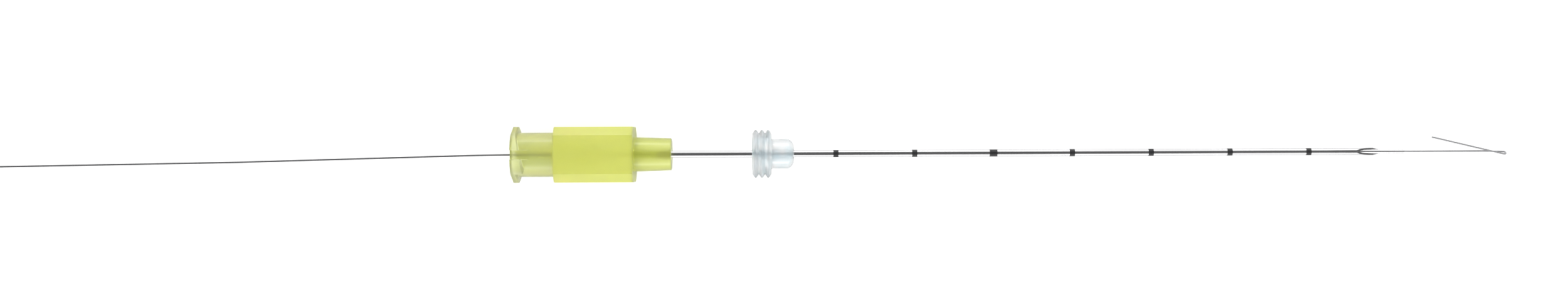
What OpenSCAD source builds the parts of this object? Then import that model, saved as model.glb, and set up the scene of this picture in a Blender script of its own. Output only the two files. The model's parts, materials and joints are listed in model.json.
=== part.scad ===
// Breast lesion localization needle: a bevelled needle in a luer lock hub, with a
// sliding depth stop and a spring hook wire. The needle's axis is X, from the middle
// of the hub's mouth at the origin to the point. The bevel and the hub's slot face
// +Z, and the barb opens towards +Y. Lengths are millimetres and angles degrees.

/* [Hub] */
// Length of the hub from its mouth to the end of its nose
hub_len = 20.15; // [19:0.05:24]
// Wall of the barrel outside the socket's mouth
barrel_wall = 0.65; // [0.5:0.05:1]
// Distance from the mouth to the grip
grip_from = 5.45; // [4.5:0.05:7]
// Length of the grip
grip_len = 9.95; // [8:0.05:11]
// Width of the grip over its flats
grip_w = 7; // [6.4:0.1:9]
// Width of each flat of the grip between its corner bevels
grip_flat_w = 4.84; // [3:0.02:6]
// Radius along the edges of the grip
grip_edge_r = 0.15; // [0.05:0.05:0.4]
// Diameter of the nose where it leaves the grip
nose_d = 4.36; // [3:0.02:5.5]
// Diameter of the nose at its end
nose_end_d = 4.08; // [2.4:0.02:5]
// Radius round the end of the nose
nose_edge_r = 0.15; // [0.05:0.05:0.4]

/* [Luer socket] */
// Diameter of the socket at its mouth
luer_d = 4.3; // [4.2:0.01:4.4]
// Diameter that the socket loses along its depth, as a share of that depth
luer_taper_share = 0.06; // [0.04:0.01:0.08]
// Depth of the tapered socket
luer_depth = 10; // [8:0.1:10.5]
// Bevel round the socket's mouth
mouth_bevel = 0.15; // [0.05:0.05:0.3]
// Length of the funnel from the socket to the throat
funnel_len = 1.8; // [1:0.1:2.5]
// Length of the throat behind the needle
throat_len = 0.4; // [0.2:0.1:0.8]

/* [Lock flange] */
// Diameter over the two lugs
flange_d = 7.8; // [7.5:0.05:8]
// Width over the flange's two side flats
flange_w = 7.1; // [6.4:0.05:7.4]
// Height of each side flat
side_flat_h = 1.5; // [1:0.1:3]
// Width of each lug
lug_w = 5; // [3.6:0.1:5.4]
// Thickness of the rim under the lugs
rim_t = 0.62; // [0.5:0.02:1]
// Thickness of a lug at its middle
lug_t = 1.11; // [0.9:0.01:1.5]
// Axial advance of the lug's rear flank in one turn
lug_lead = 4; // [2:0.1:5]
// Growth of the rim and lugs from their outside down to the barrel
flank_rise = 0.05; // [0.05:0.05:0.4]
// Step from the lip of the mouth back to the flange
lip_h = 0.1; // [0.05:0.05:0.4]
// Width of the lip in front of the slot
lip_w = 0.27; // [0.15:0.01:0.5]
// Width of the slot that marks the side of the bevel
slot_w = 1.15; // [0.8:0.05:2]
// Distance from the mouth to the end of the slot
slot_len = 2.32; // [1.8:0.02:4]
// Depth of the slot in the barrel's wall
slot_depth = 0.3; // [0.1:0.05:0.4]

/* [Needle] */
// Outside diameter of the needle
needle_d = 0.9; // [0.7:0.01:1.2]
// Wall of the needle
needle_wall = 0.12; // [0.08:0.01:0.15]
// Free length of the needle from the hub's nose to the point
needle_reach = 90.95; // [80:0.05:130]
// Length of the bevel
bevel_len = 4.2; // [3:0.1:6]
// Angle of the two side grinds of the point to the needle's axis
grind_deg = 16.5; // [14:0.5:20]
// Turn of each side grind round the needle's axis
grind_turn_deg = 25; // [15:1:35]

/* [Depth marks] */
// Number of depth marks
mark_count = 7; // [1:1:7]
// Distance from mark to mark
mark_pitch = 10; // [5:1:10]
// Distance from the point to the middle of the first mark
first_mark = 10.1; // [8:0.05:12]
// Width of a mark
mark_w = 0.66; // [0.3:0.01:1]
// Which mark from the point is the wide one
wide_mark = 5; // [1:1:7]
// Width of the wide mark
wide_mark_w = 0.99; // [0.5:0.01:1.5]
// Thickness of the marks
mark_t = 0.01; // [0.005:0.005:0.02]

/* [Needle bond] */
// Length of the adhesive between the needle and the nose
bond_len = 1.85; // [1:0.05:4]
// Gap round the needle in the hub's bore
bond_gap = 0.05; // [0.02:0.01:0.1]
// Depth of the countersink at the end of the nose
sink_depth = 0.15; // [0.05:0.05:0.3]

/* [Depth stop] */
// Gap between the hub's nose and the depth stop
stop_gap = 10.21; // [0.5:0.01:60]
// Diameter over the stop's ribs
stop_d = 6.1; // [5:0.1:8]
// Number of ribs
rib_count = 3; // [2:1:5]
// Distance from rib to rib
rib_pitch = 0.79; // [0.6:0.01:1.2]
// Depth of the grooves between the ribs
rib_depth = 0.45; // [0.2:0.01:0.6]
// Slant of the ribs' outer flanks at each end
rib_draft = 0.06; // [0.02:0.01:0.1]
// Diameter of the domed end
dome_d = 3.72; // [2.4:0.02:4.6]
// Length of the domed end's straight part
dome_straight = 1.91; // [1:0.01:4]
// Length of the rounding on the domed end
dome_cap = 0.94; // [0.5:0.01:1.4]
// Width of the flat ring round the needle at the domed end
dome_flat = 0.1; // [0.05:0.01:0.3]
// Width of the relieved space round the needle inside the stop
relief_gap = 0.14; // [0.05:0.01:0.4]
// Depth of the relieved space from the ribbed end
relief_len = 3.27; // [1:0.01:3.6]

/* [Wire] */
// Diameter of the wire
wire_d = 0.2; // [0.15:0.01:0.3]
// Overall length from the tail's end to the hook
wire_span = 200; // [160:1:300]
// Angle at which the tail leaves the needle's axis
bow_deg = 1.43; // [0.2:0.01:1.6]
// Angle by which the tail later turns back
unbow_deg = 0.6; // [0.2:0.01:1.6]
// Radius of both easy curves of the tail
bow_r = 240; // [150:10:400]
// Straight stretch of the tail between its two curves
bow_len = 28; // [15:1:35]

/* [Hook] */
// Distance from the needle's point to the end of the hook
hook_reach = 15.08; // [12:0.01:25]
// Length of the straight barb
barb_len = 9.35; // [6:0.01:9.5]
// Angle of the barb to the needle's axis
barb_deg = 13.4; // [8:0.1:30]
// Gap inside the hook's hairpin turn
turn_gap = 0.156; // [0.1:0.002:0.3]
// Gap where the barb crosses over the shaft
cross_gap = 0.02; // [0.01:0.005:0.05]
// Angle by which the shaft leans away from the barb before the turn
lean_deg = 2.3; // [0.5:0.1:4]
// Length of the leaning stretch
lean_len = 2.3; // [1:0.1:3]
// Radius of the easy curve into the leaning stretch
lean_r = 8; // [4:0.5:12]

/* [Reinforcing sleeve] */
// Length of the sleeve that stiffens the wire
sleeve_len = 20; // [10:0.5:30]
// Distance by which the sleeve stands out of the needle's point
sleeve_reach = 2.08; // [0:0.01:5]

/* [Fits] */
// Radial clearance of the depth stop over the marks
stop_fit = 0.015; // [0.01:0.005:0.05]
// Radial clearance of the sleeve in the needle
lumen_fit = 0.07; // [0.02:0.005:0.08]
// Radial clearance of the wire in the sleeve
wire_fit = 0.01; // [0.01:0.005:0.03]

/* [Hidden] */

// Overrun of cuts past the faces that they open
over = 0.2;
// Overlap of parts of one solid
lap = 0.1;
round_fn = 72;
fine_fn = 32;
arc_steps = 5;
bend_steps = 12;
rib_steps = 8;
// The wire's bends are drawn a hair thinner than its straight runs, and lap into them
bend_neck = 0.002;
bend_lap = 0.02;
// Straight ends of the wire on both sides of the barb's root
root_len = 0.05;

barrel_d = luer_d + 2 * barrel_wall;
grip_end = grip_from + grip_len;
needle_r = needle_d / 2;
lumen_d = needle_d - 2 * needle_wall;
bore_d = needle_d + 2 * bond_gap;
throat_d = lumen_d + bond_gap;
seat_x = luer_depth + funnel_len + throat_len;
tip_x = hub_len + needle_reach;
bevel_deg = atan(needle_d / bevel_len);
sink_d = bore_d + 2 * sink_depth;
stop_x = hub_len + stop_gap;
ribs_len = rib_count * rib_pitch + 2 * rib_draft;
stop_bore_d = needle_d + 2 * (mark_t + stop_fit);
sleeve_d = lumen_d - 2 * lumen_fit;
sleeve_end_x = tip_x + sleeve_reach;

// The hook's turn is tilted, so that its second leg crosses over the first.
turn_r = (wire_d + turn_gap) / 2;
tilt_deg = asin((wire_d + cross_gap) / (wire_d + turn_gap));
hook_x = tip_x + hook_reach;
turn_x = hook_x - turn_r - wire_d / 2;
lean_x = turn_x - lean_len * cos(lean_deg) - lean_r * sin(lean_deg);
tail_run = wire_span - hook_x - bow_r * (sin(bow_deg) + sin(unbow_deg)) - bow_len;

// Legs of the wire: each rolls round its own axis, runs straight and then bends to
// its right, as [roll, run, radius, turn].
shaft_legs = [[0, lean_x, lean_r, lean_deg], [-tilt_deg, lean_len, turn_r, 180],
              [0, root_len, 0, 0]];
barb_legs = [[-tilt_deg, root_len, turn_r, barb_deg - lean_deg],
             [0, barb_len, 0, 0]];
tail_legs = [[180, 0, bow_r, bow_deg], [180, bow_len, bow_r, unbow_deg],
             [0, tail_run, 0, 0]];

// Places a shape drawn in the YZ plane, and extruded along the needle, at x.
module along_x(x = 0) translate([x, 0, 0]) rotate([90, 0, 90]) children();

function arc(centre, r, from, to, steps = arc_steps) =
    [for (i = [0 : steps]) let (a = from + (to - from) * i / steps)
        centre + r * [cos(a), sin(a)]];

// Outline of a square with bevelled corners and rounded edges.
module bevelled_square(w, flat_w, edge_r) {
    h = w / 2 - edge_r;
    c = flat_w / 2 - edge_r * tan(22.5);
    polygon([for (k = [0 : 3]) for (corner = [[h, c, 0], [c, h, 45]])
        let (turn = 90 * k, x = corner[0], y = corner[1])
        each arc([x * cos(turn) - y * sin(turn), x * sin(turn) + y * cos(turn)],
                 edge_r, turn + corner[2], turn + corner[2] + 45)]);
}

// Outline of the flange: round at the lugs, with facets and flats at the sides.
module flange_outline() {
    r = flange_d / 2;
    shoulder = sqrt(pow(r, 2) - pow(lug_w / 2, 2));
    top = r + over;
    facet = (flange_w - lug_w) / 2 / (shoulder - side_flat_h / 2);
    top_y = flange_w / 2 - (top - side_flat_h / 2) * facet;
    quarter = [[flange_w / 2, side_flat_h / 2], [top_y, top]];
    intersection() {
        circle(r = r, $fn = round_fn);
        polygon([quarter[0], quarter[1],
                 [-quarter[1][0], quarter[1][1]], [-quarter[0][0], quarter[0][1]],
                 -quarter[0], -quarter[1],
                 [quarter[1][0], -quarter[1][1]], [quarter[0][0], -quarter[0][1]]]);
    }
}

// One lug: its rear flank climbs round the hub like a right-hand thread's, and
// drops towards its outer edge.
module lug() {
    size = 2 * flange_d;
    inner = barrel_d / 2 - lap;
    climb_deg = atan(lug_lead / (PI * flange_d));
    drop_deg = atan(flank_rise / ((flange_d - barrel_d) / 2));
    intersection() {
        translate([-lug_w / 2, inner, lip_h + rim_t / 2]) cube([lug_w, size, size]);
        translate([0, flange_d / 2, lip_h + lug_t]) rotate([-drop_deg, climb_deg, 0])
            translate([-size, -size, -size]) cube([2 * size, 2 * size, size]);
    }
}

module flange() {
    r = flange_d / 2;
    inner = barrel_d / 2 - 2 * lap;
    slope = flank_rise / (r - barrel_d / 2);
    intersection() {
        translate([0, 0, lip_h]) linear_extrude(2 * lug_t) flange_outline();
        union() {
            rotate_extrude($fn = round_fn)
                polygon([[0, lip_h - over], [r + over, lip_h - over],
                         [r + over, lip_h + rim_t - slope * over],
                         [inner, lip_h + rim_t + slope * (r - inner)],
                         [0, lip_h + rim_t + slope * (r - inner)]]);
            lug();
            rotate([0, 0, 180]) lug();
        }
    }
}

// The channel through the hub, from the socket's mouth to the end of the nose.
module hub_channel() {
    mouth_r = luer_d / 2;
    floor_r = mouth_r - luer_depth * luer_taper_share / 2;
    rotate_extrude($fn = round_fn)
        polygon([[0, -over], [mouth_r + mouth_bevel + over, -over],
                 [mouth_r - mouth_bevel * luer_taper_share / 2, mouth_bevel],
                 [floor_r, luer_depth], [throat_d / 2, luer_depth + funnel_len],
                 [throat_d / 2, seat_x], [bore_d / 2, seat_x],
                 [bore_d / 2, hub_len - sink_depth],
                 [sink_d / 2 + over, hub_len + over], [0, hub_len + over]]);
}

module nose() {
    end_r = nose_end_d / 2;
    rotate_extrude($fn = round_fn)
        polygon(concat([[0, grip_end - lap], [nose_d / 2, grip_end - lap],
                        [nose_d / 2, grip_end]],
                       arc([end_r - nose_edge_r, hub_len - nose_edge_r],
                           nose_edge_r, 0, 90),
                       [[0, hub_len]]));
}

module hub() color("#d7dd6c") along_x() difference() {
    union() {
        difference() {
            union() {
                flange();
                cylinder(h = grip_from + lap, d = barrel_d, $fn = round_fn);
            }
            translate([-slot_w / 2, barrel_d / 2 - slot_depth, -over])
                cube([slot_w, flange_d / 2, slot_len + over]);
        }
        cylinder(h = lip_w, d = barrel_d, $fn = round_fn);
        translate([0, 0, grip_from]) linear_extrude(grip_len)
            bevelled_square(grip_w, grip_flat_w, grip_edge_r);
        nose();
    }
    hub_channel();
}

// Half-space above a plane through the needle's point, turned round the axis.
module grind(deg, turn_deg) {
    size = bevel_len + needle_d;
    translate([tip_x, 0, -needle_r]) rotate([turn_deg, 0, 0]) rotate([0, deg, 0])
        translate([-2 * size, -size, 0]) cube([3 * size, 2 * size, size]);
}

module cannula() color("#c9ccd0") difference() {
    along_x(seat_x) cylinder(h = tip_x - seat_x + over, d = needle_d, $fn = fine_fn);
    along_x(seat_x - over)
        cylinder(h = tip_x - seat_x + 3 * over, d = lumen_d, $fn = fine_fn);
    grind(bevel_deg, 0);
    for (side = [-1, 1]) grind(grind_deg, side * grind_turn_deg);
}

module bond_bead() color("#e6e3b4") along_x() rotate_extrude($fn = fine_fn)
    polygon([[needle_r, hub_len - bond_len], [bore_d / 2, hub_len - bond_len],
             [bore_d / 2, hub_len - sink_depth], [sink_d / 2, hub_len],
             [needle_r, hub_len]]);

module depth_marks() color("#26272a") for (i = [1 : mark_count]) {
    w = i == wide_mark ? wide_mark_w : mark_w;
    along_x(tip_x - first_mark - (i - 1) * mark_pitch - w / 2) difference() {
        cylinder(h = w, d = needle_d + 2 * mark_t, $fn = fine_fn);
        translate([0, 0, -over]) cylinder(h = w + 2 * over, d = needle_d, $fn = fine_fn);
    }
}

// Half outline of the depth stop: arched ribs on a disc, and a domed end.
module stop_outline() {
    disc_r = stop_d / 2 - rib_depth;
    flat_r = stop_bore_d / 2 + dome_flat;
    dome_end = ribs_len + dome_straight;
    ribs = [for (i = [0 : rib_count * rib_steps]) let (turn = i / rib_steps)
        [disc_r + rib_depth * abs(sin(180 * turn)), rib_draft + rib_pitch * turn]];
    cap = [for (i = [0 : rib_steps]) let (turn = 90 * i / rib_steps)
        [flat_r + (dome_d / 2 - flat_r) * cos(turn), dome_end + dome_cap * sin(turn)]];
    polygon(concat([[0, 0], [dome_d / 2, 0]], ribs, [[dome_d / 2, ribs_len]], cap,
                   [[0, dome_end + dome_cap]]));
}

module depth_stop() color("#c3d3d8", 0.7) along_x(stop_x) difference() {
    rotate_extrude($fn = round_fn) stop_outline();
    translate([0, 0, -over])
        cylinder(h = ribs_len + dome_straight + dome_cap + 2 * over, d = stop_bore_d,
                 $fn = fine_fn);
    translate([0, 0, -over])
        cylinder(h = relief_len + over, d = stop_bore_d + 2 * relief_gap, $fn = fine_fn);
}

module wire_sleeve() color("#d2d4d6") along_x(sleeve_end_x - sleeve_len) difference() {
    cylinder(h = sleeve_len, d = sleeve_d, $fn = fine_fn);
    translate([0, 0, -over])
        cylinder(h = sleeve_len + 2 * over, d = wire_d + 2 * wire_fit, $fn = fine_fn);
}

// Follows the legs of a wire, drawing them if asked, and places its children at the
// far end with X along the wire.
module follow(legs, drawn = true, i = 0) {
    if (i < len(legs)) {
        run = legs[i][1];
        r = legs[i][2];
        turn = legs[i][3];
        rotate([legs[i][0], 0, 0]) {
            if (drawn) rotate([0, 90, 0]) cylinder(h = run, d = wire_d, $fn = fine_fn);
            if (drawn && turn > 0) translate([run, 0, 0]) bend(r, turn);
            translate([run + r * sin(turn), -r * (1 - cos(turn)), 0])
                rotate([0, 0, -turn]) follow(legs, drawn, i + 1) children();
        }
    } else children();
}

// A bend of the wire to the right, which laps into the straight runs at its ends.
module bend(r, turn) {
    lap_deg = bend_lap / r * 180 / PI;
    mirror([0, 1, 0]) translate([0, r, 0]) rotate([0, 0, -90 - lap_deg])
        rotate_extrude(angle = turn + 2 * lap_deg, $fn = ceil(bend_steps * 360 / turn))
            translate([r, 0]) circle(d = wire_d - 2 * bend_neck, $fn = fine_fn);
}

module hook_wire() color("#a9abad") {
    follow(shaft_legs);
    rotate([0, 0, 180]) follow(tail_legs);
}

module hook_barb() color("#a9abad") follow(shaft_legs, drawn = false) follow(barb_legs);

hub();
cannula();
bond_bead();
depth_marks();
depth_stop();
wire_sleeve();
hook_wire();
hook_barb();
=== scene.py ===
import json
import math

import bmesh
import bpy
from bpy.props import FloatProperty, FloatVectorProperty, IntProperty, PointerProperty
from mathutils import Matrix, Vector


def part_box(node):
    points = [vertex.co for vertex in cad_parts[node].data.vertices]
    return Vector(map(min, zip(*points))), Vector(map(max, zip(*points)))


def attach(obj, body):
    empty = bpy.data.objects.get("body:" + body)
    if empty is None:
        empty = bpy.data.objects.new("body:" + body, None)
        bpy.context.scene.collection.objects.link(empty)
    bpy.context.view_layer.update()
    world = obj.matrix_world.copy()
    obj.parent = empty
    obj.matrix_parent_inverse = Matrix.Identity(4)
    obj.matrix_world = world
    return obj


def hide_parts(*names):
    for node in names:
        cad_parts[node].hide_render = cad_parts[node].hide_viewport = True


bl_info = {
    "name": "Localization needle",
    "version": (1, 0, 0),
    "blender": (4, 5, 0),
    "location": "View3D > Sidebar > Needle",
    "description": "Finished pieces of a breast lesion localization needle round its CAD frame",
    "category": "Object",
}

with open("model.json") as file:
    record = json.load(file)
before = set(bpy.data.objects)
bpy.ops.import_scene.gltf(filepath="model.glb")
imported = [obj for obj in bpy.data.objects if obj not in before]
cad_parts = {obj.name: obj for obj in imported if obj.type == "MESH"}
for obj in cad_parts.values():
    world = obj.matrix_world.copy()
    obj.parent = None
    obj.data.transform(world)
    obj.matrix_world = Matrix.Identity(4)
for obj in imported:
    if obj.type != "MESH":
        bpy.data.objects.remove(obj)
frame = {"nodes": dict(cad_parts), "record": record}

MM = 0.001
X_AXIS, Y_AXIS = Vector((1, 0, 0)), Vector((0, 1, 0))

HUB_LOW, HUB_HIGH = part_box("hub")
TUBE_LOW, TUBE_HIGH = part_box("cannula")
STOP_LOW, STOP_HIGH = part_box("depth_stop")
SLEEVE_LOW, SLEEVE_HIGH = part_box("wire_sleeve")
WIRE_LOW, WIRE_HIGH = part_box("hook_wire")

# Fineness of the meshes: columns round a piece, and steps of a curve
NEEDLE_COLUMNS = 48
SLEEVE_COLUMNS = 36
STOP_COLUMNS = 72
STOP_STEPS = 10
WIRE_STEP_DEG = 7.5
LEAST_WIRE_STEPS = 4

# Small edges, shares and reaches that a user has no need to change
SLEEVE_EDGE_R = 0.04 * MM
STOP_NECK_R = 0.12 * MM
STOP_MOUTH_WIDTH, STOP_MOUTH_DEPTH = 0.02 * MM, 0.04 * MM
GROOVE_SOFTNESS = 0.1
WIRE_CHAMFER_SHARE = 0.25
SLOT_FOOT_IN, SLOT_FOOT_UP = 0.3, 0.6
MERGE_REACH = 0.0005 * MM
CUT_REACH = 1e-9

# Angles between neighbouring stations of the hub, in radians
LUG_END_GAP = 1e-5
CORNER_GAP = 0.012

# Where the hub's plastic changes along it, in millimetres from its mouth
GRIP_BLEND = (4.9, 5.7)
NOSE_BLEND = (14.9, 15.9)


def length(name, about, default_mm):
    """A size in metres that a user may change."""
    return FloatProperty(name=name, description=about, default=default_mm * MM,
                         min=0.0, precision=5, unit="LENGTH")


def angle(name, about, default_deg):
    """An angle that a user may change, given here in degrees."""
    return FloatProperty(name=name, description=about, default=math.radians(default_deg),
                         subtype="ANGLE")


def colour(name, about, default):
    """A colour that a user may change."""
    return FloatVectorProperty(name=name, description=about, default=default, size=3,
                               min=0.0, max=1.0, subtype="COLOR")


class HubSizes(bpy.types.PropertyGroup):
    lip_r: length("Lip radius", "Radius of the barrel and of the lip of its mouth", 2.8)
    lip_h: length("Lip height", "Step from the lip back to the flange", 0.1)
    lip_w: length("Lip width", "Width of the lip in front of the slot", 0.27)
    flange_r: length("Flange radius", "Radius of the flange over its lugs", 3.9)
    flat_y: length("Side flat", "Distance of the flange's side flats from the axis", 3.55)
    flat_z: length("Side flat's half height", "Half of the height of a side flat", 0.75)
    lug_y: length("Lug's half width", "Half of the width of a lug", 2.5)
    lug_t: length("Lug thickness", "Thickness of a lug at its middle", 1.11)
    lug_lead: length("Lug lead", "Advance of the lugs' rear flanks in one turn", 4.0)
    rim_t: length("Rim thickness", "Thickness of the flange between its lugs", 0.62)
    rise: length("Flank rise", "Growth of the flange down to the barrel", 0.05)
    slot_w: length("Slot width", "Width of the slot that marks the bevel's side", 1.15)
    slot_end: length("Slot end", "Distance from the mouth to the end of the slot", 2.32)
    slot_depth: length("Slot depth", "Depth of the slot in the barrel", 0.3)
    grip_from: length("Grip start", "Distance from the mouth to the grip", 5.45)
    grip_to: length("Grip end", "Distance from the mouth to the grip's end", 15.4)
    grip_half: length("Grip half width", "Distance of the grip's flats from the axis", 3.5)
    grip_flat: length("Grip flat", "Half of the width of each flat of the grip", 2.42)
    nose_r: length("Nose radius", "Radius of the nose where it leaves the grip", 2.18)
    nose_end_r: length("Nose end radius", "Radius of the nose at its end", 2.04)
    edge_r: length("Edge radius", "Radius on the grip's and the nose's edges", 0.15)
    fine_edge_r: length("Fine edge radius", "Radius on the flange's and slot's edges", 0.05)
    socket_r: length("Socket radius", "Radius of the luer socket at its mouth", 2.15)
    socket_bevel: length("Mouth bevel", "Bevel round the socket's mouth", 0.15)
    socket_floor_r: length("Socket floor radius", "Radius of the socket at its floor", 1.85)
    socket_depth: length("Socket depth", "Depth of the tapered socket", 10.0)
    funnel_end: length("Funnel end", "Distance from the mouth to the funnel's end", 11.8)
    throat_r: length("Throat radius", "Radius of the throat behind the needle", 0.355)
    seat: length("Needle seat", "Distance from the mouth to the needle's rear end", 12.2)
    bore_r: length("Bore radius", "Radius of the bore round the needle", 0.5)
    sink: length("Countersink", "Depth of the countersink at the nose's end", 0.15)
    columns: IntProperty(name="Columns", description="Mesh columns round the hub",
                         default=120, min=48)


class NeedleSizes(bpy.types.PropertyGroup):
    tube_r: length("Needle radius", "Outside radius of the needle", 0.45)
    wall: length("Needle wall", "Wall of the needle", 0.12)
    bevel: length("Bevel", "Length of the primary bevel", 4.2)
    grind: angle("Grind", "Angle of the two lancet grinds to the axis", 16.5)
    grind_turn: angle("Grind turn", "Turn of each lancet grind round the axis", 25.0)
    sleeve_r: length("Sleeve radius", "Outside radius of the sleeve round the wire", 0.26)
    sleeve_bore_r: length("Sleeve bore", "Radius of the sleeve's bore", 0.11)


class StopSizes(bpy.types.PropertyGroup):
    pitch: length("Rib pitch", "Distance from rib to rib", 0.79)
    depth: length("Groove depth", "Depth of the grooves between the ribs", 0.45)
    draft: length("Rib draft", "Slant of the outer flanks at each end", 0.06)
    outer_r: length("Stop radius", "Radius over the ribs", 3.05)
    dome_r: length("Dome radius", "Radius of the domed end", 1.86)
    dome_straight: length("Dome's straight part", "Length before the cap begins", 1.91)
    cap: length("Cap length", "Length of the rounding on the domed end", 0.94)
    flat: length("End flat", "Width of the flat ring at the domed end", 0.1)
    bore_r: length("Bore radius", "Radius of the bore on the needle", 0.475)
    relief_r: length("Relief radius", "Radius of the space round the needle", 0.615)
    relief_len: length("Relief length", "Depth of the relieved space", 3.27)
    ribs: IntProperty(name="Ribs", description="Number of ribs", default=3, min=1)


class WireSizes(bpy.types.PropertyGroup):
    r: length("Wire radius", "Radius of the spring wire", 0.1)
    bow: angle("Bow", "Angle at which the tail leaves the axis", 1.43)
    unbow: angle("Return bow", "Angle by which the tail turns back", 0.6)
    bow_r: length("Bow radius", "Radius of the tail's easy curves", 240.0)
    bow_len: length("Bow run", "Straight stretch between the tail's curves", 28.0)
    lean: angle("Lean", "Angle by which the shaft leans before its turn", 2.3)
    lean_len: length("Lean run", "Length of the leaning stretch", 2.3)
    lean_r: length("Lean radius", "Radius of the curve into the leaning stretch", 8.0)
    turn_gap: length("Turn gap", "Gap inside the hairpin turn", 0.156)
    cross_gap: length("Cross gap", "Gap where the barb crosses the shaft", 0.02)
    barb: length("Barb", "Length of the straight barb", 9.35)
    barb_angle: angle("Barb angle", "Angle of the barb to the needle's axis", 13.4)
    root_len: length("Root run", "Straight wire on both sides of the barb's root", 0.05)
    sides: IntProperty(name="Sides", description="Mesh columns round the wire",
                       default=20, min=8)


class Finishes(bpy.types.PropertyGroup):
    hub: colour("Hub", "Yellow-green polypropylene of the grip", (0.85, 0.89, 0.22))
    # Painted light: the streak colour stands for warm caustic streaks that the socket's walls
    # throw into the grip, not flow marks in the plastic
    hub_caustic_streak: colour("Streaks", "Flow streaks in the grip", (0.97, 0.92, 0.26))
    hub_thin: colour("Thin wall", "The same plastic in a thin wall", (0.75, 0.785, 0.41))
    hub_nose: colour("Nose", "The same plastic round the needle", (0.71, 0.755, 0.22))
    steel: colour("Needle steel", "Polished stainless steel", (0.82, 0.82, 0.83))
    wire: colour("Wire steel", "Drawn spring steel", (0.44, 0.44, 0.45))
    # Painted shade: the tail colour darkens the same wire to stand in for the darker reflections
    # on its thin tail
    tail: colour("Tail steel", "The duller steel of the wire's tail", (0.10, 0.10, 0.105))
    silicone: colour("Silicone", "Clear bluish silicone", (0.66, 0.765, 0.80))
    # Painted light: the pale colour stands for the whiter, lit parts of the stop
    silicone_lit_patch: colour("Pale silicone", "Its paler patches", (0.88, 0.865, 0.855))
    adhesive: colour("Adhesive", "Cured clear adhesive", (0.90, 0.86, 0.60))
    ink: colour("Ink", "Black depth marks", (0.012, 0.012, 0.013))


class StageSizes(bpy.types.PropertyGroup):
    camera_height: length("Camera height", "Height of the camera over the axis", 210.0)
    camera_x: length("Camera x", "Place of the picture's middle along the needle", 34.41)
    camera_y: FloatProperty(name="Camera y", description="Its place across the needle",
                            default=0.231 * MM, unit="LENGTH")
    roll: angle("Roll", "Turn of the picture", 0.234)
    lens: FloatProperty(name="Lens", description="Focal length in millimetres",
                        default=37.94)
    floor_half: length("Floor", "Half of the floor's width", 3000.0)


# Mesh helpers

def put_in_order(bm):
    """Sorts a mesh by place, because its own order can differ from run to run."""
    rank = {v: i for i, v in enumerate(sorted(bm.verts, key=lambda v: v.co[:]))}
    bm.verts.sort(key=lambda v: rank[v])
    for parts in (bm.edges, bm.faces):
        order = sorted(parts, key=lambda part: sorted(rank[v] for v in part.verts))
        turn = {part: i for i, part in enumerate(order)}
        parts.sort(key=lambda part: turn[part])


def new_piece(name, bm, body, finish, sharp_deg=32.0, replaced=()):
    """Turns a bmesh into a finished piece that rides on a body."""
    bmesh.ops.remove_doubles(bm, verts=bm.verts, dist=MERGE_REACH)
    bmesh.ops.recalc_face_normals(bm, faces=bm.faces)
    put_in_order(bm)
    mesh = bpy.data.meshes.new(name)
    bm.to_mesh(mesh)
    bm.free()
    mesh.shade_smooth()
    mesh.set_sharp_from_angle(angle=math.radians(sharp_deg))
    piece = bpy.data.objects.new(name, mesh)
    bpy.context.scene.collection.objects.link(piece)
    mesh.materials.append(finish)
    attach(piece, body)
    if replaced:
        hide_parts(*replaced)
    return piece


def edges_at(verts):
    """The edges at some vertices, each once, in the same order in every run."""
    return list(dict.fromkeys(e for v in verts for e in v.link_edges))


def drawn_out(bm, rings):
    """Draws a circle of edges out from ring to ring, and gives the first and last."""
    count = len(rings[0])
    first = bmesh.ops.create_circle(bm, segments=count, radius=MM)["verts"]
    edges = edges_at(first)
    for v, p in zip(first, rings[0]):
        v.co = p
    last = first
    for points in rings[1:]:
        grown = bmesh.ops.extrude_edge_only(bm, edges=edges)["geom"]
        new = {g for g in grown if isinstance(g, bmesh.types.BMVert)}
        edges = [g for g in grown if isinstance(g, bmesh.types.BMEdge)
                 and g.verts[0] in new and g.verts[1] in new]
        last = [next(w for e in v.link_edges for w in e.verts if w in new)
                for v in last]
        for v, p in zip(last, points):
            v.co = p
    return first, last


def capped(bm, loop):
    """Closes a ring of vertices with one face."""
    bmesh.ops.contextual_create(bm, geom=loop)


def spun(bm, profile, columns):
    """Turns a closed profile of (x, radius) round the needle's axis."""
    start = bmesh.ops.create_circle(bm, segments=len(profile), radius=MM)["verts"]
    for v, (x, r) in zip(start, profile):
        v.co = (x, 0.0, r)
    bmesh.ops.spin(bm, geom=start + edges_at(start), cent=(0, 0, 0), axis=X_AXIS, dvec=(0, 0, 0),
                   angle=math.tau, steps=columns, use_merge=True)


def arc(centre_x, centre_r, r, start_deg, end_deg, steps):
    """Points of a profile round a centre, by the angle from +X towards outwards."""
    points = []
    for i in range(steps + 1):
        a = math.radians(start_deg + (end_deg - start_deg) * i / steps)
        points.append((centre_x + r * math.cos(a), centre_r + r * math.sin(a)))
    return points


# Node helpers

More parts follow.
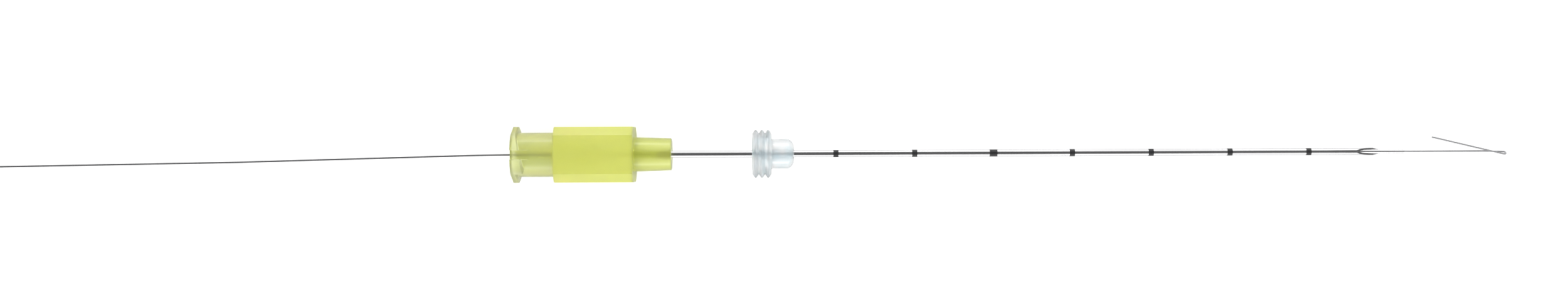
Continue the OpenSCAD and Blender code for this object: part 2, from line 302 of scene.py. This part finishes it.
class Nodes:
    """A small builder of the nodes of one tree."""

    def __init__(self, tree):
        self.nodes = tree.nodes
        self.links = tree.links

    def plug(self, socket, value):
        """Links a socket to another one, or sets its constant."""
        if isinstance(value, bpy.types.NodeSocket):
            self.links.new(value, socket)
        else:
            socket.default_value = value

    def add(self, kind, inputs=None, **settings):
        """Adds a node with its settings and its inputs."""
        node = self.nodes.new(kind)
        for key, value in settings.items():
            setattr(node, key, value)
        for key, value in (inputs or {}).items():
            self.plug(node.inputs[key], value)
        return node

    def maths(self, operation, *values):
        """The result of a Math node on its values."""
        return self.add("ShaderNodeMath", dict(enumerate(values)),
                        operation=operation).outputs[0]

    def spread(self, value, low, high, low_in=0.3, high_in=0.7):
        """Spreads a value over a range, with soft ends."""
        node = self.add("ShaderNodeMapRange", {"Value": value, "From Min": low_in,
                                               "From Max": high_in, "To Min": low,
                                               "To Max": high},
                        interpolation_type="SMOOTHSTEP")
        return node.outputs[0]

    def blend(self, factor, a, b):
        """A mix of two numbers."""
        return self.add("ShaderNodeMix", {0: factor, 2: a, 3: b},
                        data_type="FLOAT").outputs[0]

    def mix(self, factor, a, b):
        """A mix of two colours."""
        return self.add("ShaderNodeMix", {0: factor, 6: a, 7: b},
                        data_type="RGBA").outputs[2]


class Shader(Nodes):
    """A new material and the nodes that feed its shader."""

    def __init__(self, name):
        self.material = bpy.data.materials.new(name)
        self.material.use_nodes = True
        super().__init__(self.material.node_tree)
        self.surface = self.nodes["Principled BSDF"]
        self.coords = self.add("ShaderNodeTexCoord").outputs["Object"]

    def set(self, **values):
        """Sets the shader's own sockets, by name with spaces as underscores."""
        for key, value in values.items():
            self.plug(self.surface.inputs[key.replace("_", " ")], value)

    def scaled(self, sx, sy, sz):
        """Object coordinates with a scale for each axis."""
        return self.add("ShaderNodeMapping", {"Vector": self.coords,
                                              "Scale": (sx, sy, sz)}).outputs[0]

    def noise(self, vector, scale, detail=3.0, rough=0.55):
        """A noise pattern, from 0 to 1."""
        node = self.add("ShaderNodeTexNoise", {"Vector": vector, "Scale": scale,
                                               "Detail": detail, "Roughness": rough})
        return node.outputs["Fac"]

    def along(self, low_mm, high_mm, low=0.0, high=1.0):
        """A value that changes softly between two places along the needle."""
        x = self.add("ShaderNodeSeparateXYZ", {0: self.coords}).outputs["X"]
        return self.spread(x, low, high, low_mm * MM, high_mm * MM)

    def bump(self, height, strength, distance_mm):
        """Bumps the surface by a pattern."""
        node = self.add("ShaderNodeBump", {"Height": height, "Strength": strength,
                                           "Distance": distance_mm * MM})
        self.links.new(node.outputs[0], self.surface.inputs["Normal"])


def opaque(rgb, factor=1.0):
    """A colour socket's four values, lightened or darkened by a factor."""
    return tuple(min(1.0, c * factor) for c in rgb) + (1.0,)


def hub_plastic(finish):
    """Translucent yellow-green polypropylene: pale in its thin walls, full in its grip,
    with faint flow marks, and painted light in warm caustic streaks from the socket."""
    m = Shader("hub_plastic")
    flow = m.noise(m.scaled(90, 500, 500), 1.0, 2.0)
    grip = m.along(*GRIP_BLEND)
    nose = m.along(*NOSE_BLEND)
    hue = m.mix(nose, m.mix(grip, opaque(finish.hub_thin), opaque(finish.hub)),
                opaque(finish.hub_nose))
    # Painted light: warm caustic streaks run from the socket's side of the grip and fade along
    # it
    streaks = m.noise(m.scaled(70, 420, 420), 1.0, 1.0)
    streaks = m.maths("MULTIPLY", m.spread(streaks, 0.0, 0.55, 0.45, 0.75),
                      m.along(5.5, 12.5, 1.0, 0.15))
    hue = m.mix(streaks, hue, opaque(finish.hub_caustic_streak))
    base = m.mix(m.spread(flow, 0.0, 0.06), hue, (1.0, 1.0, 0.6, 1.0))
    clear = m.maths("ADD", m.along(*GRIP_BLEND, 0.85, 0.4),
                    m.along(*NOSE_BLEND, 0.0, 0.35))
    m.set(Base_Color=base, Roughness=m.spread(flow, 0.28, 0.33), IOR=1.49,
          Subsurface_Weight=0.5, Subsurface_Radius=(1.0, 0.9, 0.3),
          Subsurface_Scale=1.5 * MM, Transmission_Weight=clear,
          Coat_Weight=0.3, Coat_Roughness=0.1)
    m.bump(m.noise(m.coords, 2600.0, 2.0), 0.12, 0.008)
    return m.material


def needle_steel(finish):
    """Ground and polished stainless steel with fine drawing lines along it."""
    m = Shader("needle_steel")
    lines = m.noise(m.scaled(60, 9000, 9000), 1.0, 3.0)
    m.set(Base_Color=m.mix(m.spread(lines, 0.0, 1.0), opaque(finish.steel, 0.95),
                           opaque(finish.steel, 1.03)),
          Metallic=1.0, Roughness=m.spread(lines, 0.2, 0.26))
    m.bump(lines, 0.08, 0.004)
    return m.material


def wire_steel(finish):
    """Drawn spring wire, duller than the needle, with painted shade darkening it towards its
    tail.
    """
    m = Shader("wire_steel")
    lines = m.noise(m.scaled(80, 20000, 20000), 1.0, 3.0)
    # Painted shade: the colour fades from the wire's own to the dark tail colour, from 100 mm
    # back to -5 mm along the needle
    hue = m.mix(m.along(-5.0, 100.0), opaque(finish.tail), opaque(finish.wire))
    m.set(Base_Color=m.mix(m.spread(lines, 0.0, 0.15), hue, opaque(finish.wire, 1.05)),
          Metallic=1.0, Roughness=m.spread(lines, 0.5, 0.6))
    m.bump(lines, 0.1, 0.002)
    return m.material


def stop_silicone(finish):
    """Clear silicone rubber with a blurring depth, bluish, with pale patches of painted
    light for its lit, whiter parts, and a wet shine on its surface."""
    m = Shader("stop_silicone")
    # Painted light: noise patches of the pale colour stand for the lit, whiter parts of the stop
    painted_light_patches = m.noise(m.scaled(500, 350, 350), 1.0, 1.0)
    m.set(Base_Color=m.mix(m.spread(painted_light_patches, 0.0, 1.0), opaque(finish.silicone),
                           opaque(finish.silicone_lit_patch)),
          Roughness=0.3, IOR=1.41, Transmission_Weight=0.88,
          Coat_Weight=1.0, Coat_Roughness=0.04)
    m.bump(m.noise(m.coords, 700.0, 0.0), 0.5, 0.1)
    return m.material


def cured_adhesive(finish):
    """Clear cured adhesive with a few specks."""
    m = Shader("cured_adhesive")
    specks = m.noise(m.coords, 5000.0, 2.0)
    m.set(Base_Color=m.mix(m.spread(specks, 0.0, 1.0, 0.55, 0.7),
                           opaque(finish.adhesive), opaque(finish.adhesive, 0.85)),
          Roughness=m.spread(specks, 0.1, 0.2), IOR=1.5, Transmission_Weight=0.6)
    return m.material


def mark_ink(finish):
    """Black marking, matt, with a grain that lets no steel through."""
    m = Shader("mark_ink")
    grain = m.noise(m.coords, 9000.0, 2.0)
    m.set(Base_Color=m.mix(m.spread(grain, 0.0, 1.0), opaque(finish.ink),
                           opaque(finish.ink, 2.2)),
          Roughness=m.spread(grain, 0.4, 0.6))
    m.bump(grain, 0.2, 0.003)
    return m.material


MAKERS = {"hub": hub_plastic, "needle_steel": needle_steel, "adhesive": cured_adhesive,
          "mark_ink": mark_ink, "stop_silicone": stop_silicone, "wire_steel": wire_steel}
made_finishes = {}


def finish_of(slot):
    """The material of a slot of the record, made once."""
    if slot not in made_finishes:
        made_finishes[slot] = MAKERS[slot](bpy.context.scene.needle_finishes)
    return made_finishes[slot]


def dress(node):
    """Gives a carried-over CAD node the finish of its slot."""
    slots = {s["node"]: s["material_slot"] for s in frame["record"]["subparts"]}
    mesh = frame["nodes"][node].data
    mesh.materials.clear()
    mesh.materials.append(finish_of(slots[node]))


# Shapes

def hub_stations(s):
    """Stations round the hub, from the middle of the slot, as (angle from +Z towards
    -Y, kind). The kinds mark the slot's edges and both sides of each lug's ends."""
    plain = [math.tau * i / s.columns for i in range(s.columns)]
    slot_turn = math.asin(s.slot_w / 2 / s.lip_r)
    edge = s.fine_edge_r / s.lip_r
    lug = math.asin(s.lug_y / s.flange_r)
    flat = math.atan2(s.flat_y, s.flat_z)
    corner = math.atan2(s.grip_flat, s.grip_half)
    stations = [(a, "plain") for a in plain
                if min(a, math.tau - a) > slot_turn + 3 * edge]
    for side in (1, -1):
        for k, kind in ((2, "plain"), (1, "rim"), (0, "wall"), (-1, "foot")):
            stations.append((side * (slot_turn + k * edge) % math.tau, kind))
    stations.append((0.0, "foot"))
    for middle in (0.0, math.pi):
        for side in (1, -1):
            a = (middle + side * lug) % math.tau
            stations.append((a - side * LUG_END_GAP, "plain"))
            stations.append((a + side * LUG_END_GAP, "plain"))
        for side in (1, -1):
            stations.append(((middle + side * flat) % math.tau, "plain"))
    for quarter in range(4):
        for side in (1, -1):
            for k in (-2, -1, 0, 1, 2):
                stations.append(((quarter * math.pi / 2 + side * corner
                                  + k * CORNER_GAP) % math.tau, "plain"))
    return sorted(stations)


def flange_radius(s, a):
    """Radius of the flange's outline at an angle."""
    y, z = abs(math.sin(a)), abs(math.cos(a))
    shoulder = math.sqrt(s.flange_r ** 2 - s.lug_y ** 2)
    limits = [s.flange_r]
    if y > 1e-6:
        limits.append(s.flat_y / y)
    # The facet from the flat's corner to the lug's shoulder
    ny, nz = shoulder - s.flat_z, s.flat_y - s.lug_y
    limits.append((ny * s.flat_y + nz * s.flat_z) / (ny * y + nz * z))
    return min(limits)


def grip_radius(s, a):
    """Radius of the grip's outline, a square with bevelled corners, at an angle."""
    y, z = abs(math.sin(a)), abs(math.cos(a))
    return min(s.grip_half / max(y, z, 1e-9), (s.grip_half + s.grip_flat) / (y + z))


def flank_x(s, a, r):
    """Place of the flange's rear face: the lugs climb like a right-hand thread."""
    slope = s.rise / (s.flange_r - s.lip_r)
    rim = s.lip_h + s.rim_t + slope * (s.flange_r - r)
    lug = math.asin(s.lug_y / s.flange_r)
    local = (a + math.pi / 2) % math.pi - math.pi / 2
    if abs(local) < lug:
        climbed = s.lip_h + s.lug_t + s.lug_lead * local / math.tau
        return max(rim, climbed + slope * (s.flange_r - r))
    return rim


def hub_rings(s):
    """Rings of the whole hub: outside from mouth to nose, then back through its bore."""
    stations = hub_stations(s)
    e, f = s.edge_r, s.fine_edge_r

    def at(x, a, r):
        return Vector((x, -r * math.sin(a), r * math.cos(a)))

    def outline(x, radius, floor=None, drop=0.0):
        """One ring. Where a floor is given, the slot's stations go down to it."""
        points = []
        for a, kind in stations:
            side = 1 if 0 < a < math.pi else -1
            r = radius(a) - drop
            px = x(a, r) if callable(x) else x
            p = at(px, a, r)
            if floor is not None and kind in ("wall", "foot"):
                half = s.slot_w / 2 - (f * SLOT_FOOT_IN if kind == "foot" else 0.0)
                y = 0.0 if a == 0.0 else -side * half
                z = floor if kind == "foot" else max(floor + f * SLOT_FOOT_UP, 0.0)
                p = Vector((px, y, z))
            elif floor is not None and kind == "rim":
                p = Vector((px, -side * (s.slot_w / 2),
                            math.sqrt(max(r * r - (s.slot_w / 2) ** 2, 0.0)) - f))
            elif floor is not None and kind == "plain" and on_slot_edge(a):
                y = s.slot_w / 2 + f
                p = Vector((px, -side * y, math.sqrt(max(r * r - y * y, 0.0))))
            points.append(p)
        return points

    slot_turn = math.asin(s.slot_w / 2 / s.lip_r)
    edge = f / s.lip_r

    def on_slot_edge(a):
        return abs(min(a, math.tau - a) - (slot_turn + 2 * edge)) < 1e-6

    def round_r(r):
        return lambda a: r

    def flange(a):
        return flange_radius(s, a)

    def grip(a):
        return grip_radius(s, a)

    lip_floor = s.lip_r
    slot_floor = s.lip_r - s.slot_depth

    def lip_circle_floor(points):
        """Puts the slot's foot on the lip's round surface."""
        for p in points:
            if abs(p.y) <= s.slot_w / 2 and p.z < s.flange_r and p.z > 0:
                on_lip = math.sqrt(s.lip_r ** 2 - p.y ** 2)
                if p.z < on_lip:
                    p.z = on_lip
        return points

    # A ring at 0.3 of an edge's radius rounds it in two steps. The flange's edges have
    # twice the fine radius, so theirs is at 0.6 of that
    rings = [
        outline(0.0, round_r(s.socket_r + s.socket_bevel)),
        outline(0.0, round_r(s.lip_r - f)),
        outline(f, round_r(s.lip_r)),
        outline(s.lip_h, round_r(s.lip_r)),
        lip_circle_floor(outline(s.lip_h, flange, lip_floor, drop=2 * f)),
        lip_circle_floor(outline(s.lip_h + 0.6 * f, flange, lip_floor, drop=0.6 * f)),
        lip_circle_floor(outline(s.lip_h + 2 * f, flange, lip_floor)),
        lip_circle_floor(outline(s.lip_w, flange, lip_floor)),
        outline(s.lip_w, flange, slot_floor),
        outline(lambda a, r: flank_x(s, a, r) - 2 * f, flange, slot_floor),
        outline(lambda a, r: flank_x(s, a, r) - 0.6 * f, flange, slot_floor, drop=0.6 * f),
        outline(lambda a, r: flank_x(s, a, r), flange, slot_floor, drop=2 * f),
        outline(lambda a, r: flank_x(s, a, r), round_r(s.lip_r + f), slot_floor),
        outline(lambda a, r: flank_x(s, a, r) + f, round_r(s.lip_r), slot_floor),
        outline(s.slot_end - f, round_r(s.lip_r), slot_floor),
        outline(s.slot_end, round_r(s.lip_r), slot_floor),
        outline(s.slot_end, round_r(s.lip_r)),
        outline(s.grip_from, round_r(s.lip_r)),
        outline(s.grip_from, grip, drop=e),
        outline(s.grip_from + 0.3 * e, grip, drop=0.3 * e),
        outline(s.grip_from + e, grip),
        outline(s.grip_to - f, grip),
        outline(s.grip_to - 0.3 * f, grip, drop=0.3 * f),
        outline(s.grip_to, grip, drop=f),
        outline(s.grip_to, round_r(s.nose_r + f)),
        outline(s.grip_to + f, round_r(s.nose_r)),
    ]
    nose = arc(HUB_HIGH.x - e, s.nose_end_r - e, e, 90, 0, steps=5)
    nose += [(HUB_HIGH.x, s.bore_r + s.sink), (HUB_HIGH.x - s.sink, s.bore_r),
             (s.seat, s.bore_r), (s.seat, s.throat_r), (s.funnel_end, s.throat_r),
             (s.socket_depth, s.socket_floor_r),
             (s.socket_bevel, s.socket_r)]
    for x, r in nose:
        rings.append(outline(x, round_r(r)))
    return rings


def make_hub(s):
    """The hub: one closed skin, drawn over its outside and back through its bore."""
    bm = bmesh.new()
    rings = hub_rings(s)
    drawn_out(bm, rings + rings[:1])
    return new_piece("hub_moulding", bm, "needle", finish_of("hub"),
                     replaced=("hub",))


def make_needle(s):
    """The needle: a tube cut to the primary bevel and by two lancet grinds."""
    bm = bmesh.new()
    tip = TUBE_HIGH.x
    heel = tip - s.bevel
    xs = [TUBE_LOW.x, heel - s.bevel, tip + s.tube_r]
    spun(bm, [(x, s.tube_r) for x in xs]
         + [(x, s.tube_r - s.wall) for x in reversed(xs)], NEEDLE_COLUMNS)
    point = Vector((tip, 0.0, -s.tube_r))
    bevel = math.atan2(2 * s.tube_r, s.bevel)
    cuts = [(bevel, 0.0), (s.grind, s.grind_turn), (s.grind, -s.grind_turn)]
    for lean, turn in cuts:
        normal = Matrix.Rotation(turn, 3, "X") @ Vector((math.sin(lean), 0, math.cos(lean)))
        cut = bmesh.ops.bisect_plane(bm, geom=bm.verts[:] + bm.edges[:] + bm.faces[:],
                                     dist=CUT_REACH, plane_co=point, plane_no=normal,
                                     clear_outer=True)
        edges = [g for g in cut["geom_cut"] if isinstance(g, bmesh.types.BMEdge)]
        bmesh.ops.triangle_fill(bm, use_beauty=True, use_dissolve=False, edges=edges,
                                normal=normal)
    return new_piece("needle_tube", bm, "needle",
                     finish_of("needle_steel"), sharp_deg=24, replaced=("cannula",))


def make_stop(s):
    """The depth stop: round ribs, grooves, a domed end and a relieved bore."""
    x0 = STOP_LOW.x
    disc_r = s.outer_r - s.depth
    steps, soft, neck = STOP_STEPS, GROOVE_SOFTNESS, STOP_NECK_R
    profile = [(x0, s.relief_r), (x0, s.dome_r)]
    for i in range(s.ribs * steps + 1):
        arch = abs(math.sin(math.pi * i / steps))
        lift = math.sqrt(arch * arch + soft * soft) - soft
        profile.append((x0 + s.draft + s.pitch * i / steps,
                        disc_r + s.depth * lift / (1 - soft)))
    base_end = x0 + s.ribs * s.pitch + 2 * s.draft
    profile.append((base_end, s.dome_r + neck))
    profile += arc(base_end + neck, s.dome_r + neck, neck, 180, 270, steps=4)[1:]
    dome_end = base_end + s.dome_straight
    flat_r = s.bore_r + s.flat
    for i in range(steps + 1):
        turn = math.pi / 2 * i / steps
        profile.append((dome_end + s.cap * math.sin(turn),
                        flat_r + (s.dome_r - flat_r) * math.cos(turn)))
    profile += [(STOP_HIGH.x, s.bore_r + STOP_MOUTH_WIDTH),
                (STOP_HIGH.x - STOP_MOUTH_DEPTH, s.bore_r),
                (x0 + s.relief_len, s.bore_r), (x0 + s.relief_len, s.relief_r)]
    bm = bmesh.new()
    spun(bm, profile, STOP_COLUMNS)
    return new_piece("silicone_stop", bm, "stop",
                     finish_of("stop_silicone"), replaced=("depth_stop",))


def make_sleeve(s):
    """The sleeve round the wire, with its ends rounded."""
    e = SLEEVE_EDGE_R
    x0, x1, r, bore = SLEEVE_LOW.x, SLEEVE_HIGH.x, s.sleeve_r, s.sleeve_bore_r
    profile = arc(x1 - e, r - e, e, 0, 90, steps=3)
    profile += arc(x0 + e, r - e, e, 90, 180, steps=3)
    profile += [(x0, bore), (x1, bore)]
    bm = bmesh.new()
    spun(bm, profile, SLEEVE_COLUMNS)
    return new_piece("wire_sleeve_tube", bm, "sleeve",
                     finish_of("needle_steel"), replaced=("wire_sleeve",))


def swept(name, frames, s, body, node):
    """A wire along a list of frames, whose X axes point along it, with chamfered ends."""
    rings = []
    chamfer = s.r * WIRE_CHAMFER_SHARE
    first, last = frames[0], frames[-1]

    def around(m, r, ahead=0.0):
        return [m @ Vector((ahead, r * math.cos(a), r * math.sin(a)))
                for a in (math.tau * i / s.sides for i in range(s.sides))]

    rings.append(around(first, s.r - chamfer))
    rings.append(around(first, s.r, chamfer))
    for m in frames[1:-1]:
        rings.append(around(m, s.r))
    rings.append(around(last, s.r, -chamfer))
    rings.append(around(last, s.r - chamfer))
    bm = bmesh.new()
    for loop in drawn_out(bm, rings):
        capped(bm, loop)
    return new_piece(name, bm, body, finish_of("wire_steel"),
                     sharp_deg=40, replaced=(node,))


def follow(start, legs):
    """Frames along legs of wire, each (roll, run, radius, turn to the right)."""
    m = start
    frames = [m]
    for roll, run, r, turn in legs:
        m = m @ Matrix.Rotation(roll, 4, "X")
        if run > 0:
            m = m @ Matrix.Translation((run, 0, 0))
            frames.append(m)
        if turn > 0:
            steps = max(LEAST_WIRE_STEPS, math.ceil(math.degrees(turn) / WIRE_STEP_DEG))
            step = turn / steps
            for _ in range(steps):
                m = (m @ Matrix.Translation((r * math.sin(step),
                                             -r * (1 - math.cos(step)), 0))
                     @ Matrix.Rotation(-step, 4, "Z"))
                frames.append(m)
    return m, frames


def wire_routes(s):
    """Frames of the shaft with its tail, and of the barb."""
    turn_r = (2 * s.r + s.turn_gap) / 2
    tilt = math.asin((2 * s.r + s.cross_gap) / (2 * s.r + s.turn_gap))
    hook_x = WIRE_HIGH.x
    turn_x = hook_x - turn_r - s.r
    lean_x = turn_x - s.lean_len * math.cos(s.lean) - s.lean_r * math.sin(s.lean)
    span = WIRE_HIGH.x - WIRE_LOW.x
    bows = s.bow_r * (math.sin(s.bow) + math.sin(s.unbow))
    tail_run = span - hook_x - bows - s.bow_len
    shaft = [(0.0, lean_x, s.lean_r, s.lean), (-tilt, s.lean_len, turn_r, math.pi),
             (0.0, s.root_len, 0.0, 0.0)]
    tail = [(math.pi, 0.0, s.bow_r, s.bow), (math.pi, s.bow_len, s.bow_r, s.unbow),
            (0.0, tail_run, 0.0, 0.0)]
    barb = [(-tilt, s.root_len, turn_r, s.barb_angle - s.lean),
            (0.0, s.barb, 0.0, 0.0)]
    root, shaft_frames = follow(Matrix.Identity(4), shaft)
    _, tail_frames = follow(Matrix.Rotation(math.pi, 4, "Z"), tail)
    _, barb_frames = follow(root, barb)
    flip = Matrix.Rotation(math.pi, 4, "Z")
    back = [m @ flip for m in reversed(tail_frames)]
    return back + shaft_frames[1:], barb_frames


def make_wire(s):
    """The wire from its tail's end to the barb's root."""
    frames, _ = wire_routes(s)
    return swept("spring_wire", untwisted(frames), s, "wire", "hook_wire")


def make_barb(s):
    """The barb, from its root at the end of the hairpin."""
    _, frames = wire_routes(s)
    return swept("spring_barb", untwisted(frames), s, "barb", "hook_barb")


def untwisted(frames):
    """The same frames, rolled so that each ring's points follow the last ring's."""
    out = [frames[0]]
    for m in frames[1:]:
        last = out[-1]
        along = m.to_3x3() @ X_AXIS
        side = last.to_3x3() @ Y_AXIS
        side = (side - along * side.dot(along)).normalized()
        up = along.cross(side)
        turned_m = Matrix((along, side, up)).transposed().to_4x4()
        turned_m.translation = m.translation
        out.append(turned_m)
    return out


# Lamps: name, place in millimetres, width and height in millimetres, and power in watts
LAMPS = (("side_lamp_far", (30, 280, 60), 500, 80, 0.34),
         ("side_lamp_near", (30, -280, 90), 500, 80, 0.34),
         ("top_lamp_far", (30, 200, 250), 450, 140, 0.2),
         ("top_lamp_near", (30, -200, 250), 450, 140, 0.2))
LAMPS_AIM = (30, 0, 0)
SENSOR_WIDTH = 36.0
CLIP_NEAR, CLIP_FAR = MM, 10.0

# The floor's own colour, and its glow to the eye and through clear pieces, and in gloss
FLOOR_GREY = 0.82
FLOOR_GLOW = 0.5
FLOOR_GLOW_IN_GLOSS = 0.08

# The light of the surroundings, and the dim ceiling that gloss sees instead
PLAIN_LIGHT = 0.62
CEILING_STRETCH = 0.67
CEILING_EDGE = (0.62, 1.0)
CEILING_LIGHT = (0.1, 1.25)


def make_stage(s):
    """Floor, lamps, world and camera."""
    scene = bpy.context.scene
    bpy.ops.mesh.primitive_plane_add(size=2 * s.floor_half,
                                     location=(s.camera_x, 0.0, HUB_LOW.z))
    floor = bpy.context.object
    floor.name = "floor"
    floor.data.materials.append(floor_paint())
    for name, place, width, height, power in LAMPS:
        data = bpy.data.lights.new(name, "AREA")
        data.shape = "RECTANGLE"
        data.size = width * MM
        data.size_y = height * MM
        data.energy = power
        lamp = bpy.data.objects.new(name, data)
        scene.collection.objects.link(lamp)
        lamp.location = Vector(place) * MM
        to = Vector(LAMPS_AIM) * MM - lamp.location
        lamp.rotation_euler = to.to_track_quat("-Z", "Y").to_euler()
        lamp.visible_camera = False
        lamp.visible_glossy = name.startswith("side")
    paint_world(scene)
    data = bpy.data.cameras.new("camera")
    data.sensor_width = SENSOR_WIDTH
    data.lens = s.lens
    data.clip_start = CLIP_NEAR
    data.clip_end = CLIP_FAR
    camera = bpy.data.objects.new("camera", data)
    scene.collection.objects.link(camera)
    camera.location = (s.camera_x, s.camera_y, s.camera_height)
    camera.rotation_euler = (0.0, 0.0, -s.roll)
    scene.camera = camera
    scene.view_settings.view_transform = "Standard"


def floor_paint():
    """White floor that shows white to the eye and in gloss, and keeps its shadows."""
    m = Shader("floor_paint")
    path = m.add("ShaderNodeLightPath").outputs
    seen = m.maths("MAXIMUM", path["Is Camera Ray"], path["Is Transmission Ray"])
    glow = m.maths("MULTIPLY_ADD", path["Is Glossy Ray"], FLOOR_GLOW_IN_GLOSS,
                   m.maths("MULTIPLY", seen, FLOOR_GLOW))
    m.set(Base_Color=(FLOOR_GREY, FLOOR_GREY, FLOOR_GREY, 1.0), Roughness=0.9,
          Specular_IOR_Level=0.0, Emission_Color=(1.0, 1.0, 1.0, 1.0),
          Emission_Strength=glow)
    return m.material


def paint_world(scene):
    """White surroundings, plain light on the object, and a dim ceiling in its gloss."""
    world = bpy.data.worlds.new("surroundings")
    scene.world = world
    world.use_nodes = True
    m = Nodes(world.node_tree)
    background = m.nodes["Background"]
    path = m.add("ShaderNodeLightPath").outputs
    direction = m.add("ShaderNodeTexCoord").outputs["Generated"]
    parts = m.add("ShaderNodeSeparateXYZ", {0: direction}).outputs
    # The dim ceiling is a lozenge over the object, longer along the needle than across
    reach = m.maths("MULTIPLY_ADD", m.maths("ABSOLUTE", parts["X"]), CEILING_STRETCH,
                    m.maths("ABSOLUTE", parts["Y"]))
    ceiling = m.spread(reach, *CEILING_LIGHT, *CEILING_EDGE)
    light = m.blend(path["Is Glossy Ray"], PLAIN_LIGHT, ceiling)
    plain = m.maths("MAXIMUM", path["Is Camera Ray"], path["Is Transmission Ray"])
    m.plug(background.inputs["Color"], (1.0, 1.0, 1.0, 1.0))
    m.plug(background.inputs["Strength"], m.blend(plain, light, 1.0))


# Operators

class NEEDLE_OT_make_hub(bpy.types.Operator):
    """Builds the moulded hub"""
    bl_idname = "needle.make_hub"
    bl_label = "Hub"

    def execute(self, context):
        make_hub(context.scene.needle_hub)
        return {"FINISHED"}


class NEEDLE_OT_make_needle(bpy.types.Operator):
    """Builds the bevelled needle"""
    bl_idname = "needle.make_needle"
    bl_label = "Needle"

    def execute(self, context):
        make_needle(context.scene.needle_tube)
        return {"FINISHED"}


class NEEDLE_OT_make_stop(bpy.types.Operator):
    """Builds the silicone depth stop"""
    bl_idname = "needle.make_stop"
    bl_label = "Depth stop"

    def execute(self, context):
        make_stop(context.scene.needle_stop)
        return {"FINISHED"}


class NEEDLE_OT_make_sleeve(bpy.types.Operator):
    """Builds the sleeve round the wire"""
    bl_idname = "needle.make_sleeve"
    bl_label = "Sleeve"

    def execute(self, context):
        make_sleeve(context.scene.needle_tube)
        return {"FINISHED"}


class NEEDLE_OT_make_wire(bpy.types.Operator):
    """Builds the spring wire with its hook and its barb"""
    bl_idname = "needle.make_wire"
    bl_label = "Wire"

    def execute(self, context):
        make_wire(context.scene.needle_wire)
        make_barb(context.scene.needle_wire)
        return {"FINISHED"}


class NEEDLE_OT_dress_marks(bpy.types.Operator):
    """Finishes the depth marks and the adhesive"""
    bl_idname = "needle.dress_marks"
    bl_label = "Marks and adhesive"

    def execute(self, context):
        dress("depth_marks")
        dress("bond_bead")
        return {"FINISHED"}


class NEEDLE_OT_make_stage(bpy.types.Operator):
    """Sets the floor, the light and the camera"""
    bl_idname = "needle.make_stage"
    bl_label = "Stage"

    def execute(self, context):
        make_stage(context.scene.needle_stage)
        return {"FINISHED"}


OPERATORS = (NEEDLE_OT_make_hub, NEEDLE_OT_make_needle, NEEDLE_OT_make_stop,
             NEEDLE_OT_make_sleeve, NEEDLE_OT_make_wire, NEEDLE_OT_dress_marks,
             NEEDLE_OT_make_stage)


class NEEDLE_PT_pieces(bpy.types.Panel):
    """Pieces of the needle"""
    bl_label = "Localization needle"
    bl_space_type = "VIEW_3D"
    bl_region_type = "UI"
    bl_category = "Needle"

    def draw(self, context):
        for operator in OPERATORS:
            self.layout.operator(operator.bl_idname)


GROUPS = {"needle_hub": HubSizes, "needle_tube": NeedleSizes, "needle_stop": StopSizes,
          "needle_wire": WireSizes, "needle_finishes": Finishes,
          "needle_stage": StageSizes}


def register():
    """Registers the sizes, the operators and the panel."""
    for name, group in GROUPS.items():
        bpy.utils.register_class(group)
        setattr(bpy.types.Scene, name, PointerProperty(type=group))
    for operator in OPERATORS:
        bpy.utils.register_class(operator)
    bpy.utils.register_class(NEEDLE_PT_pieces)


def unregister():
    """Takes them all away again."""
    bpy.utils.unregister_class(NEEDLE_PT_pieces)
    for operator in reversed(OPERATORS):
        bpy.utils.unregister_class(operator)
    for name, group in GROUPS.items():
        delattr(bpy.types.Scene, name)
        bpy.utils.unregister_class(group)


def main():
    """Builds every piece and the stage."""
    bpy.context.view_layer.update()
    register()
    for operator in OPERATORS:
        group, name = operator.bl_idname.split(".")
        getattr(getattr(bpy.ops, group), name)()


if __name__ == "__main__":
    main()
